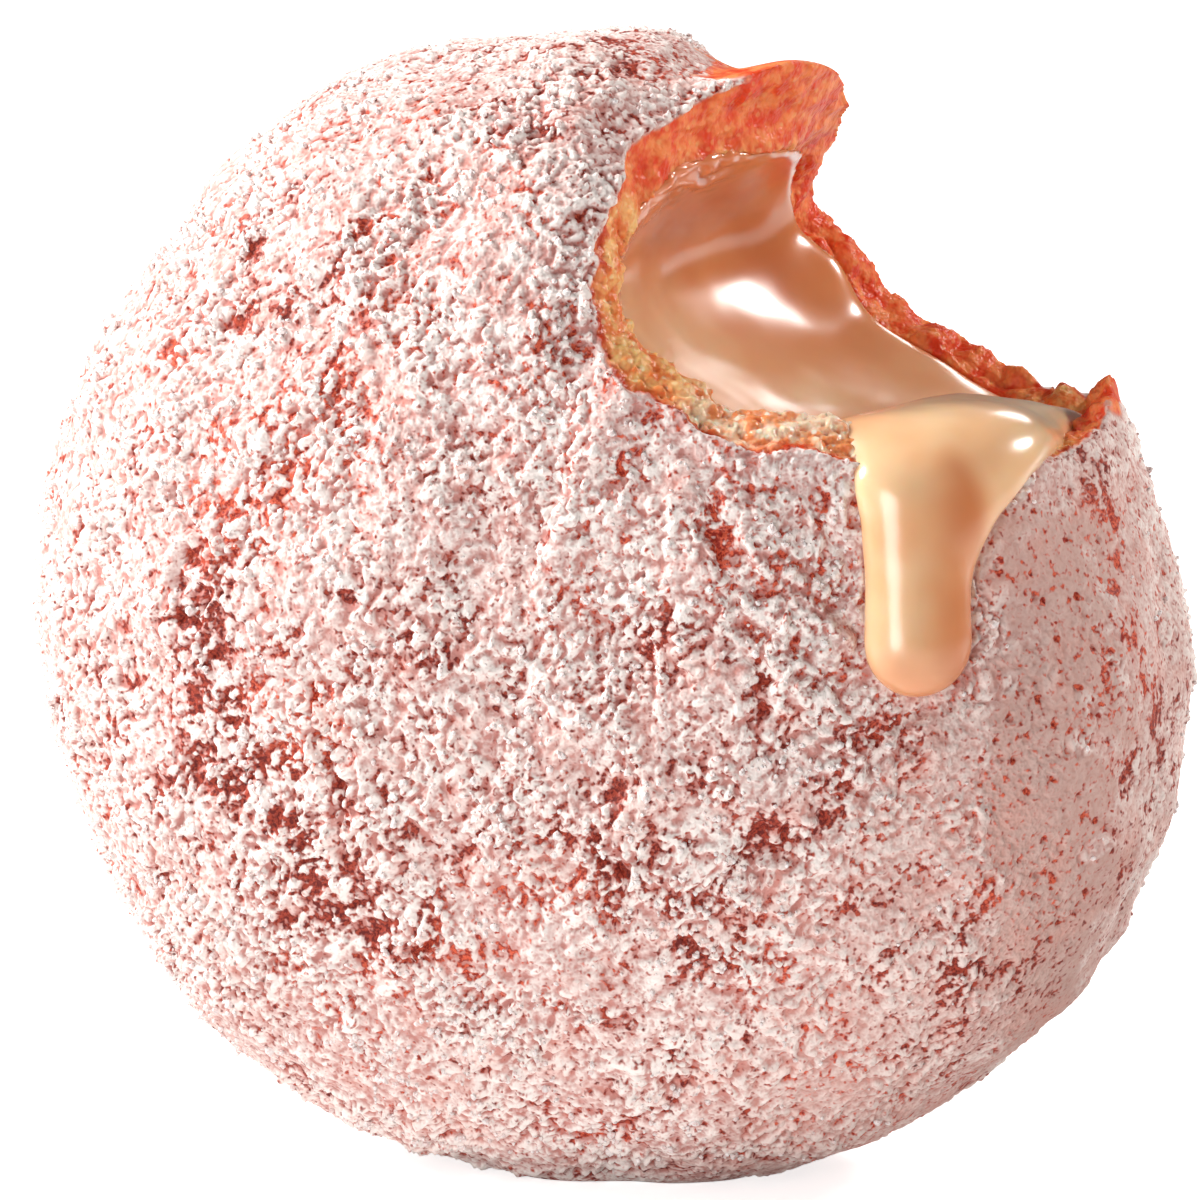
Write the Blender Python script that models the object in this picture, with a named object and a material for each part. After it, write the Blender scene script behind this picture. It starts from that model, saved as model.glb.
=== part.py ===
"""A cream filled doughnut standing on its edge, with a bite out of its upper right.

The doughnut's flat axis is Y and its shown face looks along -Y. The origin is the middle of the
small flat foot that it stands on. Shapes are worked out about the doughnut's own middle and moved
up by CENTRE_HEIGHT at the end. Lengths are in metres and angles in degrees.
"""

import math

import bmesh
import bpy
from mathutils import Matrix, Vector, noise

MM = 0.001

# The whole doughnut
RADIUS = 45.0 * MM
HALF_THICKNESS = 27.0 * MM
SECTION_POWER = 2.4  # 2 would make the section an ellipse, and more makes it squarer
FOOT_DEPTH = 1.4 * MM  # what the doughnut's own weight flattens
CENTRE_HEIGHT = RADIUS - FOOT_DEPTH
GAP = 0.3 * MM  # between the dough and the cream

# It isn't quite round. Each bulge of its rim: direction, spread, height
BULGES = (
    (323.0, 60.0, 1.9 * MM),
    (228.0, 34.0, 0.9 * MM),
    (165.0, 44.0, 1.0 * MM),
    (120.0, 22.0, 1.2 * MM),
    (91.0, 11.0, 0.5 * MM),
    (78.0, 10.0, -1.4 * MM),
    (72.0, 8.0, 1.5 * MM),
    (16.0, 20.0, -1.1 * MM),
)

# Lumps of the dough and clots of the powder: height, and distance from one to the next
LUMPS = ((0.9 * MM, 17.0 * MM), (0.45 * MM, 7.5 * MM), (0.22 * MM, 4.2 * MM))

# The bite is a round bar along Y, centred just inside the doughnut's outline
BITE_X = 26.5 * MM
BITE_Z = 36.5 * MM
BITE_RADIUS = 20.3 * MM
BITE_LENGTH = 68.0 * MM
# Each tooth: direction from the bite's middle, spread, place along Y, spread along Y, depth
TEETH = (
    (158.0, 18.0, -20.0 * MM, 24.0 * MM, -2.2 * MM),
    (205.0, 26.0, -16.0 * MM, 34.0 * MM, 2.6 * MM),
    (260.0, 28.0, -18.0 * MM, 22.0 * MM, -2.6 * MM),
    (205.0, 26.0, 24.0 * MM, 26.0 * MM, -1.5 * MM),
    (221.0, 14.0, 22.0 * MM, 12.0 * MM, -1.8 * MM),
    (246.0, 34.0, 24.0 * MM, 28.0 * MM, -1.5 * MM),
    (276.0, 24.0, 24.0 * MM, 24.0 * MM, 1.4 * MM),
    (295.0, 20.0, 0.0 * MM, 60.0 * MM, 2.4 * MM),
    (318.0, 24.0, 0.0 * MM, 60.0 * MM, 3.6 * MM),
)
TEAR = ((0.8 * MM, 4.6 * MM), (0.4 * MM, 2.4 * MM))  # ragged edge, as LUMPS
TEAR_SLOPE = 1.8 * MM  # how much wider it gets through the front wall, and narrower at the back

# The flap of crust left at the top of the back: it grows from front to back, and ends lower down
FLAP_REACH = 7.8 * MM
FLAP_FROM = -13.0 * MM
FLAP_TO = 8.0 * MM
FLAP_LOW_FROM = 176.0
FLAP_LOW_TO = 208.0
# The small tip of crust left standing at the right, given as a tooth is
TIP = (306.0, 10.0, 6.0 * MM, 9.0 * MM, -1.8 * MM)
SCRAP_LEVEL = 0.87  # the share of the way out to the skin where a scrap's thin crust starts

# The pocket of cream follows the skin at a wall's distance, and ends some way past the bite
POCKET_POWER = 2.7  # squarer than the skin, so the wall is thin at its shoulders
POCKET_RADIUS = 39.5 * MM
POCKET_HALF_THICKNESS = 22.6 * MM
POCKET_SHIFT = Vector((2.0, 0.6, -1.6)) * MM
POCKET_REACH = 36.0 * MM
POCKET_BLEND = 8.0
POCKET_HEART = Vector((16.0, 0.0, 14.0)) * MM  # a point inside, which the pocket is seen from

# The cream's face follows the bite, but it is hollow at the upper left
CREAM_SINK = 0.7 * MM
CREAM_HOLLOW = 3.2 * MM
CREAM_HOLLOW_FROM = 225.0
CREAM_HOLLOW_TO = 288.0
CREAM_HOLLOW_HALF_WIDTH = 25.0 * MM
CREAM_CLIMB = 8.0 * MM  # how far it reaches up the inside of the flap
SWELL = (284.0, 30.0, -10.0 * MM, 15.0 * MM, -4.0 * MM)  # where it wells up to spill

# The spill, from inside the pocket over the rim and down the face
# Each row: X, how deep under the skin of the face, Z, half width, half height
SPILL = (
    (26.0, 28.0, 8.5, 8.5, 4.0),
    (29.0, 16.0, 14.2, 9.6, 4.2),
    (30.8, 5.0, 17.0, 8.8, 3.6),
    (31.4, 0.4, 15.4, 6.9, 3.0),
    (31.3, -0.7, 12.2, 5.3, 2.7),
    (31.1, -0.8, 8.6, 4.35, 2.6),
    (31.3, -0.8, 3.2, 4.3, 2.8),
)
SPILL_ACROSS = Vector((0.88, 0.48, 0.0))  # along the face, level, where the drip hangs
SPILL_STEPS = 4
SPILL_SIDES = 20
DRIP_END_STEPS = 5

# How fine the meshes are
BODY_DIVISIONS = 5
POCKET_DIVISIONS = 4
BITE_COLUMNS = 96
BITE_ROWS = 44
CREAM_COLUMNS = 72
CREAM_ROWS = 34
RIM_BAND = 5.5 * MM  # the skin this near to the bite gets smaller faces
HALVINGS = 30  # steps of a search by halving

CRUST_COLOUR = (0.80, 0.62, 0.57, 1.0)
CREAM_COLOUR = (0.87, 0.49, 0.24, 1.0)


def clear_scene():
    for obj in list(bpy.data.objects):
        bpy.data.objects.remove(obj)


def rounded(point, radius, half_thickness, power=SECTION_POWER):
    """How far out a point lies: 1 on the surface of a thick disc with a rounded section."""
    across = math.hypot(point.x, point.z) / radius
    through = abs(point.y) / half_thickness
    return (across**power + through**power) ** (1 / power)


def ragged(point, layers):
    """A sum of smooth random waves, each with its own height and length."""
    return sum(height * noise.noise(point / length) for height, length in layers)


def bump(distance, spread):
    """1 in the middle and 0 from the spread outwards, with smooth ends."""
    share = min(abs(distance) / spread, 1.0)
    return (1 - share * share) ** 2


def ramp(value, low, high):
    """0 below low and 1 above high, smooth between."""
    share = min(max((value - low) / (high - low), 0.0), 1.0)
    return share * share * (3 - 2 * share)


def bulge(point):
    """How much wider than round the doughnut is, at a point of its skin."""
    direction = math.degrees(math.atan2(point.z, point.x)) % 360
    height = 0.0
    for middle, spread, tallest in BULGES:
        off = abs(direction - middle)
        height += tallest * bump(min(off, 360 - off), spread)
    return height * math.hypot(point.x, point.z) / RADIUS


def skin(direction):
    """The point of the doughnut's skin in this direction from its middle."""
    point = direction / rounded(direction, RADIUS, HALF_THICKNESS)
    return point + direction * (bulge(point) + ragged(point, LUMPS))


def skin_y(x, z):
    """Where the skin of the shown face lies at this X and Z, found by halving."""
    near, far = 0.0, -2 * HALF_THICKNESS
    for _ in range(HALVINGS):
        middle = (near + far) / 2
        point = Vector((x, middle, z))
        if point.length < skin(point.normalized()).length:
            near = middle
        else:
            far = middle
    return near


def along_bite(angle, y, radius):
    """The point at this direction and distance from the bite's middle line."""
    turn = math.radians(angle)
    return Vector((BITE_X + radius * math.cos(turn), y, BITE_Z + radius * math.sin(turn)))


def tooth(angle, y, mark):
    """How much deeper one mark is at this direction and place along Y."""
    middle, spread, y_middle, y_spread, depth = mark
    return depth * bump(angle - middle, spread) * bump(y - y_middle, y_spread)


def flap_share(angle, y):
    """1 where the flap is whole, and 0 in front of it and below it."""
    return ramp(y, FLAP_FROM, FLAP_TO) * (1 - ramp(angle, FLAP_LOW_FROM, FLAP_LOW_TO))


def scraps(angle, y):
    """How far the scraps of crust stand into the bite, thin because only the skin is left."""
    height = FLAP_REACH * flap_share(angle, y) - tooth(angle, y, TIP)
    level = rounded(along_bite(angle, y, BITE_RADIUS - height), RADIUS, HALF_THICKNESS)
    return height * ramp(level, SCRAP_LEVEL, SCRAP_LEVEL + 0.05)


def bite_radius(angle, y):
    """The dough's bite, with tooth marks, a torn slope at the skin and the scraps left standing."""
    radius = BITE_RADIUS + sum(tooth(angle, y, mark) for mark in TEETH)
    at_skin = ramp(rounded(along_bite(angle, y, radius), RADIUS, HALF_THICKNESS), 0.86, 1.0)
    radius += TEAR_SLOPE * (at_skin - 0.5) * (1 - 2 * ramp(y, -HALF_THICKNESS, HALF_THICKNESS))
    radius += ragged(along_bite(angle, y, radius), TEAR)
    return radius - scraps(angle, y)


def cream_radius(angle, y):
    """The cream's smooth face, which climbs the flap and wells up towards the spill."""
    left = 1 - ramp(angle, CREAM_HOLLOW_FROM, CREAM_HOLLOW_TO)
    hollow = CREAM_HOLLOW * left * bump(y, CREAM_HOLLOW_HALF_WIDTH)
    marks = sum(tooth(angle, y, mark) for mark in (*TEETH, SWELL))
    return BITE_RADIUS + CREAM_SINK + hollow + marks - CREAM_CLIMB * flap_share(angle, y)


def pocket_level(point, extra):
    """1 on the pocket's surface, which is the nearer of its wall and its far end, blended."""
    sides = (POCKET_RADIUS + extra, POCKET_HALF_THICKNESS + extra)
    wall = rounded(point - POCKET_SHIFT, *sides, POCKET_POWER)
    far = math.hypot(point.x - BITE_X, point.z - BITE_Z) / (POCKET_REACH + extra)
    return (wall**POCKET_BLEND + far**POCKET_BLEND) ** (1 / POCKET_BLEND)


def pocket_distance(direction, extra):
    """How far the pocket's surface is from its heart, found by halving."""
    near, far = 0.0, 2 * RADIUS
    for _ in range(HALVINGS):
        middle = (near + far) / 2
        if pocket_level(POCKET_HEART + direction * middle, extra) < 1:
            near = middle
        else:
            far = middle
    return near


def new_object(name, bm, colour=None):
    bmesh.ops.recalc_face_normals(bm, faces=bm.faces)
    mesh = bpy.data.meshes.new(name)
    bm.to_mesh(mesh)
    bm.free()
    mesh.shade_smooth()
    obj = bpy.data.objects.new(name, mesh)
    bpy.context.scene.collection.objects.link(obj)
    if colour:
        mesh.materials.append(food_material(name, colour))
    return obj


def food_material(name, colour):
    material = bpy.data.materials.new(name)
    material.use_nodes = True
    shader = material.node_tree.nodes["Principled BSDF"]
    shader.inputs["Base Color"].default_value = colour
    shader.inputs["Roughness"].default_value = 0.2 if name == "cream" else 0.9
    shader.inputs["Metallic"].default_value = 0.0
    return material


def cutter(name, bm):
    obj = new_object(name, bm)
    obj.hide_render = True
    obj.display_type = "WIRE"
    return obj


def join_or_cut(obj, other, operation):
    modifier = obj.modifiers.new(f"{operation.lower()} {other.name}", "BOOLEAN")
    modifier.operation = operation
    modifier.object = other


def tube(radius_at, columns, rows, length):
    """A closed bar about the bite's middle line, whose radius is a function of direction and Y."""
    bm = bmesh.new()
    rings = []
    for row in range(rows + 1):
        y = length * (row / rows - 0.5)
        angles = [360.0 * column / columns for column in range(columns)]
        rings.append([bm.verts.new(along_bite(a, y, radius_at(a, y))) for a in angles])
    for one, two in zip(rings, rings[1:]):
        for column in range(columns):
            following = (column + 1) % columns
            bm.faces.new((one[column], one[following], two[following], two[column]))
    bm.faces.new(rings[0])
    bm.faces.new(rings[-1])
    return bm


def doughnut_body():
    """The whole lumpy doughnut, with smaller faces along the bite's rim and a flat foot."""
    bm = bmesh.new()
    bmesh.ops.create_icosphere(bm, subdivisions=BODY_DIVISIONS, radius=1.0)
    near_rim = []
    for edge in bm.edges:
        point = skin((edge.verts[0].co + edge.verts[1].co).normalized())
        from_axis = math.hypot(point.x - BITE_X, point.z - BITE_Z)
        if abs(from_axis - BITE_RADIUS) < RIM_BAND:
            near_rim.append(edge)
    bmesh.ops.subdivide_edges(bm, edges=near_rim, cuts=1, use_grid_fill=True)
    for vert in bm.verts:
        vert.co = skin(vert.co.normalized())
    everything = bm.verts[:] + bm.edges[:] + bm.faces[:]
    foot = Vector((0, 0, -CENTRE_HEIGHT))
    cut = bmesh.ops.bisect_plane(
        bm, geom=everything, plane_co=foot, plane_no=(0, 0, -1), clear_outer=True
    )
    rim = [item for item in cut["geom_cut"] if isinstance(item, bmesh.types.BMEdge)]
    bmesh.ops.contextual_create(bm, geom=rim)
    return bm


def cream_pocket(extra):
    bm = bmesh.new()
    bmesh.ops.create_icosphere(bm, subdivisions=POCKET_DIVISIONS, radius=1.0)
    for vert in bm.verts:
        direction = vert.co.normalized()
        vert.co = POCKET_HEART + direction * pocket_distance(direction, extra)
    return bm


def spline_value(before, start, end, after, share):
    """A smooth curve through start and end that heads for the points on either side."""
    return 0.5 * (
        2 * start
        + (end - before) * share
        + (2 * before - 5 * start + 4 * end - after) * share**2
        + (3 * (start - end) + after - before) * share**3
    )


def spill_stations():
    """The spill's centre, half width and half height, read from smooth curves through SPILL."""
    rows = [Vector(row) * MM for row in SPILL]
    for row in rows:
        row[1] += skin_y(row[0], row[2])
    rows = [2 * rows[0] - rows[1], *rows, 2 * rows[-1] - rows[-2]]
    stations = []
    for before, start, end, after in zip(rows, rows[1:], rows[2:], rows[3:]):
        for step in range(SPILL_STEPS):
            stations.append(spline_value(before, start, end, after, step / SPILL_STEPS))
    stations.append(rows[-2])
    return stations


def spill(extra):
    """The spill as a string of ellipses square to its path, with a round drop at its end."""
    stations = spill_stations()
    last, before = stations[-1], stations[-2]
    heading = Vector((last - before)[:3]).normalized()
    for step in range(1, DRIP_END_STEPS):
        turn = math.radians(90 * step / DRIP_END_STEPS)
        centre = Vector(last[:3]) + heading * last[3] * math.sin(turn)
        size = math.cos(turn)
        stations.append(Vector((*centre, last[3] * size, last[4] * size)))
    bm = bmesh.new()
    rings = []
    for index, station in enumerate(stations):
        one = Vector(stations[max(index - 1, 0)][:3])
        two = Vector(stations[min(index + 1, len(stations) - 1)][:3])
        forward = (two - one).normalized()
        across = (SPILL_ACROSS - forward * SPILL_ACROSS.dot(forward)).normalized()
        outward = forward.cross(across)
        ring = []
        for side in range(SPILL_SIDES):
            turn = math.tau * side / SPILL_SIDES
            offset = across * (station[3] + extra) * math.cos(turn)
            offset += outward * (station[4] + extra) * math.sin(turn)
            ring.append(bm.verts.new(Vector(station[:3]) + offset))
        rings.append(ring)
    for one, two in zip(rings, rings[1:]):
        for side in range(SPILL_SIDES):
            following = (side + 1) % SPILL_SIDES
            bm.faces.new((one[side], one[following], two[following], two[side]))
    tip = bm.verts.new(Vector(last[:3]) + heading * (last[3] + extra))
    for side in range(SPILL_SIDES):
        bm.faces.new((rings[-1][side], rings[-1][(side + 1) % SPILL_SIDES], tip))
    bm.faces.new(rings[0])
    return bm


def make_cream():
    cream = new_object("cream", cream_pocket(0.0), CREAM_COLOUR)
    face = tube(cream_radius, CREAM_COLUMNS, CREAM_ROWS, BITE_LENGTH)
    join_or_cut(cream, cutter("cream bite", face), "DIFFERENCE")
    join_or_cut(cream, cutter("cream spill", spill(0.0)), "UNION")
    return cream


def make_dough():
    dough = new_object("dough", doughnut_body(), CRUST_COLOUR)
    join_or_cut(dough, cutter("dough spill", spill(GAP)), "DIFFERENCE")
    join_or_cut(dough, cutter("dough pocket", cream_pocket(GAP)), "DIFFERENCE")
    bite = tube(bite_radius, BITE_COLUMNS, BITE_ROWS, BITE_LENGTH)
    join_or_cut(dough, cutter("dough bite", bite), "DIFFERENCE")
    return dough


def stand_on_foot():
    for obj in bpy.data.objects:
        obj.matrix_world = Matrix.Translation((0, 0, CENTRE_HEIGHT))


clear_scene()
make_cream()
make_dough()
stand_on_foot()
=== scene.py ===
"""Looks of a cream filled doughnut that stands on its edge, with a bite out of its upper right.

Every shape is worked out about the doughnut's own middle, in metres, and moved up to where the
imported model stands. The doughnut's flat axis is Y and its shown face looks along -Y.
"""

import math

import bmesh
import bpy
import numpy as np
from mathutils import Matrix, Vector, noise
from mathutils.bvhtree import BVHTree


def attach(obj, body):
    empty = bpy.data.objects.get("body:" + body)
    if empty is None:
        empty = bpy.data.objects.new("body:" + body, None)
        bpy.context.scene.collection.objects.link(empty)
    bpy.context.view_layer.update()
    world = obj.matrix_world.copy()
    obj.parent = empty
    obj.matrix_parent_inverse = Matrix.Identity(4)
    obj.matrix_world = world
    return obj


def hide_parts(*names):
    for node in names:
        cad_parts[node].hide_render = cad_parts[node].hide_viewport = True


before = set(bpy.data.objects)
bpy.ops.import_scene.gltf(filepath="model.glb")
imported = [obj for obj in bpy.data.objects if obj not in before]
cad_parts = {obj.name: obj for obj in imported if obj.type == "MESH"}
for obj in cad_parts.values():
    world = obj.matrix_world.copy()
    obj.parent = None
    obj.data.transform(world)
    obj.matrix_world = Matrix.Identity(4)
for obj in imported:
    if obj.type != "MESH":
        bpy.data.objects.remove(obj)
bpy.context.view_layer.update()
for name in ("Cube", "Light", "Camera"):  # what a new Blender file starts with
    if name in bpy.data.objects:
        bpy.data.objects.remove(bpy.data.objects[name])

MM = 0.001

# The doughnut's sizes, as in the part's source
RADIUS = 45.0 * MM
HALF_THICKNESS = 27.0 * MM
SECTION_POWER = 2.4  # 2 would make the section an ellipse, and more makes it squarer
FOOT_DEPTH = 1.4 * MM  # what the doughnut's own weight flattens
CENTRE_HEIGHT = RADIUS - FOOT_DEPTH

# It isn't quite round. Each bulge of its rim: direction, spread, height
BULGES = (
    (323.0, 60.0, 1.9 * MM),
    (228.0, 34.0, 0.9 * MM),
    (165.0, 44.0, 1.0 * MM),
    (120.0, 22.0, 1.2 * MM),
    (91.0, 11.0, 0.5 * MM),
    (78.0, 10.0, -1.4 * MM),
    (72.0, 8.0, 1.5 * MM),
    (16.0, 20.0, -1.1 * MM),
)

# Lumps of the dough and clots of the powder: height, and distance from one to the next
LUMPS = ((0.9 * MM, 17.0 * MM), (0.45 * MM, 7.5 * MM), (0.22 * MM, 4.2 * MM))

# The bite is a round bar along Y, centred just inside the doughnut's outline
BITE_X = 26.5 * MM
BITE_Z = 36.5 * MM
BITE_RADIUS = 20.3 * MM
BITE_LENGTH = 68.0 * MM
# Each tooth: direction from the bite's middle, spread, place along Y, spread along Y, depth
TEETH = (
    (158.0, 18.0, -20.0 * MM, 24.0 * MM, -2.2 * MM),
    (205.0, 26.0, -16.0 * MM, 34.0 * MM, 2.6 * MM),
    (260.0, 28.0, -18.0 * MM, 22.0 * MM, -2.6 * MM),
    (205.0, 26.0, 24.0 * MM, 26.0 * MM, -1.5 * MM),
    (221.0, 14.0, 22.0 * MM, 12.0 * MM, -1.8 * MM),
    (246.0, 34.0, 24.0 * MM, 28.0 * MM, -1.5 * MM),
    (276.0, 24.0, 24.0 * MM, 24.0 * MM, 1.4 * MM),
    (295.0, 20.0, 0.0 * MM, 60.0 * MM, 2.4 * MM),
    (318.0, 24.0, 0.0 * MM, 60.0 * MM, 3.6 * MM),
)
TEAR = ((0.8 * MM, 4.6 * MM), (0.4 * MM, 2.4 * MM))  # ragged edge, as LUMPS
TEAR_SLOPE = 1.8 * MM  # how much wider it gets through the front wall, and narrower at the back

# The flap of crust left at the top of the back: it grows from front to back, and ends lower down
FLAP_REACH = 7.8 * MM
FLAP_FROM = -13.0 * MM
FLAP_TO = 8.0 * MM
FLAP_LOW_FROM = 176.0
FLAP_LOW_TO = 208.0
# In front the cream climbs the flap more gently than the crust does
CLIMB_FROM = -16.0 * MM
CLIMB_TO = 10.0 * MM
CLIMB_LOW_FROM = 160.0
CLIMB_LOW_TO = 236.0
# Towards the back it turns into the flap's own shape
CLIMB_BACK_FROM = -8.0 * MM
CLIMB_BACK_TO = 3.0 * MM
# The small tip of crust left standing at the right, given as a tooth is
TIP = (306.0, 10.0, 6.0 * MM, 9.0 * MM, -1.8 * MM)
SCRAP_LEVEL = 0.80  # the share of the way out to the skin where a scrap's thin crust starts
SCRAP_FADE = 0.05  # and how much further out it is whole
TORN_LEVELS = (0.86, 1.0)  # between these shares of the way out the tear's slope sets in

# The pocket of cream follows the skin at a wall's distance, and ends some way past the bite
POCKET_POWER = 2.7  # squarer than the skin, so the wall is thin at its shoulders
POCKET_RADIUS = 39.5 * MM
POCKET_HALF_THICKNESS = 22.6 * MM
POCKET_SHIFT = Vector((2.0, 0.6, -1.6)) * MM
POCKET_REACH = 36.0 * MM
POCKET_BLEND = 8.0
POCKET_HEART = Vector((16.0, 0.0, 14.0)) * MM  # a point inside, which the pocket is seen from

# The cream's face follows the bite, but it is hollow at the upper left
CREAM_SINK = 0.7 * MM
CREAM_HOLLOW = 3.2 * MM
CREAM_HOLLOW_FROM = 225.0
CREAM_HOLLOW_TO = 288.0
CREAM_HOLLOW_HALF_WIDTH = 25.0 * MM
CREAM_CLIMB = 8.0 * MM  # how far it reaches up the inside of the flap
SWELL = (283.0, 34.0, -5.5 * MM, 19.0 * MM, -4.2 * MM)  # where it wells up to spill
NEAR_WALL = (0.80, 1.0)  # the levels of the pocket between which it climbs the wall

# The spill, from inside the pocket over the rim and down the face
# Each row: X, how deep under the skin of the face, Z, half width, half height
SPILL = (
    (26.0, 28.0, 8.5, 8.5, 4.0),
    (29.0, 16.0, 14.2, 9.6, 4.2),
    (30.8, 5.0, 17.0, 8.8, 3.6),
    (31.4, 0.4, 15.4, 6.9, 3.0),
    (31.3, -0.7, 12.2, 5.3, 2.7),
    (31.1, -0.8, 8.6, 4.35, 2.6),
    (31.3, -0.8, 3.2, 4.3, 2.8),
)
SPILL_ACROSS = Vector((0.88, 0.48, 0.0))  # along the face, level, where the drip hangs
HALVINGS = 30  # steps of a search by halving

# How fine this model is
DOUGH_VOXEL = 0.25 * MM
CREAM_VOXEL = 0.36 * MM
HIDDEN_KEPT = 0.10  # share of the triangles kept on walls that nobody sees
BACK_KEPT = 0.45  # and on the back's skin
BODY_DIVISIONS = 7
POCKET_DIVISIONS = 6
BITE_COLUMNS = 300
BITE_ROWS = 150
SPILL_STEPS = 12
SPILL_SIDES = 48
DRIP_END_STEPS = 12
CLOT_COUNT = 5000
CLOT_SEED = 7
CREAM_OVERLAP = 0.3 * MM  # the cream wets the dough, so it reaches this far into it
CREAM_RISE = 0.35 * MM  # how far it stands out of the dough where the two meet
# The finest of the ragged edge, as TEAR
FINE_TEAR = ((0.25 * MM, 1.3 * MM), (0.12 * MM, 0.7 * MM))

# Where the photograph's camera stands
VIEW_AZIMUTH = 17.0
VIEW_ELEVATION = 11.0
PICTURE_SIDE = 1200.0  # pixels
PICTURE_SCALE = 12.8  # pixels a millimetre at the doughnut's middle
MIDDLE_PIXEL = (611.0, 610.0)
LENS = 900.0
SENSOR = 36.0


def rounded(point, radius, half_thickness, power=SECTION_POWER):
    """How far out a point lies: 1 on the surface of a thick disc with a rounded section."""
    across = math.hypot(point.x, point.z) / radius
    through = abs(point.y) / half_thickness
    return (across**power + through**power) ** (1 / power)


def ragged(point, layers):
    """A sum of smooth random waves, each with its own height and length."""
    return sum(height * noise.noise(point / length) for height, length in layers)


def bump(distance, spread):
    """1 in the middle and 0 from the spread outwards, with smooth ends."""
    share = min(abs(distance) / spread, 1.0)
    return (1 - share * share) ** 2


def ramp(value, low, high):
    """0 below low and 1 above high, smooth between."""
    share = min(max((value - low) / (high - low), 0.0), 1.0)
    return share * share * (3 - 2 * share)


def bulge(point):
    """How much wider than round the doughnut is, at a point of its skin."""
    direction = math.degrees(math.atan2(point.z, point.x)) % 360
    height = 0.0
    for middle, spread, tallest in BULGES:
        off = abs(direction - middle)
        height += tallest * bump(min(off, 360 - off), spread)
    return height * math.hypot(point.x, point.z) / RADIUS


def skin(direction):
    """The point of the doughnut's skin in this direction from its middle."""
    point = direction / rounded(direction, RADIUS, HALF_THICKNESS)
    return point + direction * (bulge(point) + ragged(point, LUMPS))


def halved(near, far, inside):
    """Where the inside ends between near and far, found by halving."""
    for _ in range(HALVINGS):
        middle = (near + far) / 2
        if inside(middle):
            near = middle
        else:
            far = middle
    return near


def skin_y(x, z):
    """Where the skin of the shown face lies at this X and Z."""

    def inside(y):
        point = Vector((x, y, z))
        return point.length < skin(point.normalized()).length

    return halved(0.0, -2 * HALF_THICKNESS, inside)


def along_bite(angle, y, radius):
    """The point at this direction and distance from the bite's middle line."""
    turn = math.radians(angle)
    return Vector((BITE_X + radius * math.cos(turn), y, BITE_Z + radius * math.sin(turn)))


def tooth(angle, y, mark):
    """How much deeper one mark is at this direction and place along Y."""
    middle, spread, y_middle, y_spread, depth = mark
    return depth * bump(angle - middle, spread) * bump(y - y_middle, y_spread)


def flap_share(angle, y):
    """1 where the flap is whole, and 0 in front of it and below it."""
    return ramp(y, FLAP_FROM, FLAP_TO) * (1 - ramp(angle, FLAP_LOW_FROM, FLAP_LOW_TO))


def scraps(angle, y):
    """How far the scraps of crust stand into the bite, thin because only the skin is left."""
    height = FLAP_REACH * flap_share(angle, y) - tooth(angle, y, TIP)
    level = rounded(along_bite(angle, y, BITE_RADIUS - height), RADIUS, HALF_THICKNESS)
    return height * ramp(level, SCRAP_LEVEL, SCRAP_LEVEL + SCRAP_FADE)


def bite_radius(angle, y):
    """The dough's bite, with tooth marks, a torn slope at the skin and the scraps left standing."""
    radius = BITE_RADIUS + sum(tooth(angle, y, mark) for mark in TEETH)
    level = rounded(along_bite(angle, y, radius), RADIUS, HALF_THICKNESS)
    at_skin = ramp(level, *TORN_LEVELS)
    radius += TEAR_SLOPE * (at_skin - 0.5) * (1 - 2 * ramp(y, -HALF_THICKNESS, HALF_THICKNESS))
    radius += ragged(along_bite(angle, y, radius), (*TEAR, *FINE_TEAR))
    return radius - scraps(angle, y)


def climb_share(angle, y):
    """1 where the cream has climbed all the way up the flap, and 0 well below it."""
    gentle = ramp(y, CLIMB_FROM, CLIMB_TO) * (1 - ramp(angle, CLIMB_LOW_FROM, CLIMB_LOW_TO))
    back = ramp(y, CLIMB_BACK_FROM, CLIMB_BACK_TO)
    return gentle * (1 - back) + flap_share(angle, y) * back


def cream_radius(angle, y):
    """The cream's smooth face, which climbs the flap and wells up towards the spill."""
    left = 1 - ramp(angle, CREAM_HOLLOW_FROM, CREAM_HOLLOW_TO)
    hollow = CREAM_HOLLOW * left * bump(y, CREAM_HOLLOW_HALF_WIDTH)
    marks = sum(tooth(angle, y, mark) for mark in (*TEETH, SWELL))
    radius = BITE_RADIUS + CREAM_SINK + hollow + marks - CREAM_CLIMB * climb_share(angle, y)
    near_wall = ramp(pocket_level(along_bite(angle, y, radius), 0.0), *NEAR_WALL)
    return radius - (CREAM_SINK + hollow + CREAM_RISE) * near_wall


def pocket_level(point, extra):
    """1 on the pocket's surface, which is the nearer of its wall and its far end, blended."""
    sides = (POCKET_RADIUS + extra, POCKET_HALF_THICKNESS + extra)
    wall = rounded(point - POCKET_SHIFT, *sides, POCKET_POWER)
    far = math.hypot(point.x - BITE_X, point.z - BITE_Z) / (POCKET_REACH + extra)
    return (wall**POCKET_BLEND + far**POCKET_BLEND) ** (1 / POCKET_BLEND)


def pocket_distance(direction, extra):
    """How far the pocket's surface is from its heart."""
    return halved(
        0.0, 2 * RADIUS, lambda far: pocket_level(POCKET_HEART + direction * far, extra) < 1
    )


def mesh_object(name, bm):
    """A new object from a bmesh, which is freed."""
    bmesh.ops.recalc_face_normals(bm, faces=bm.faces)
    mesh = bpy.data.meshes.new(name)
    bm.to_mesh(mesh)
    bm.free()
    obj = bpy.data.objects.new(name, mesh)
    bpy.context.scene.collection.objects.link(obj)
    return obj


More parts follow.
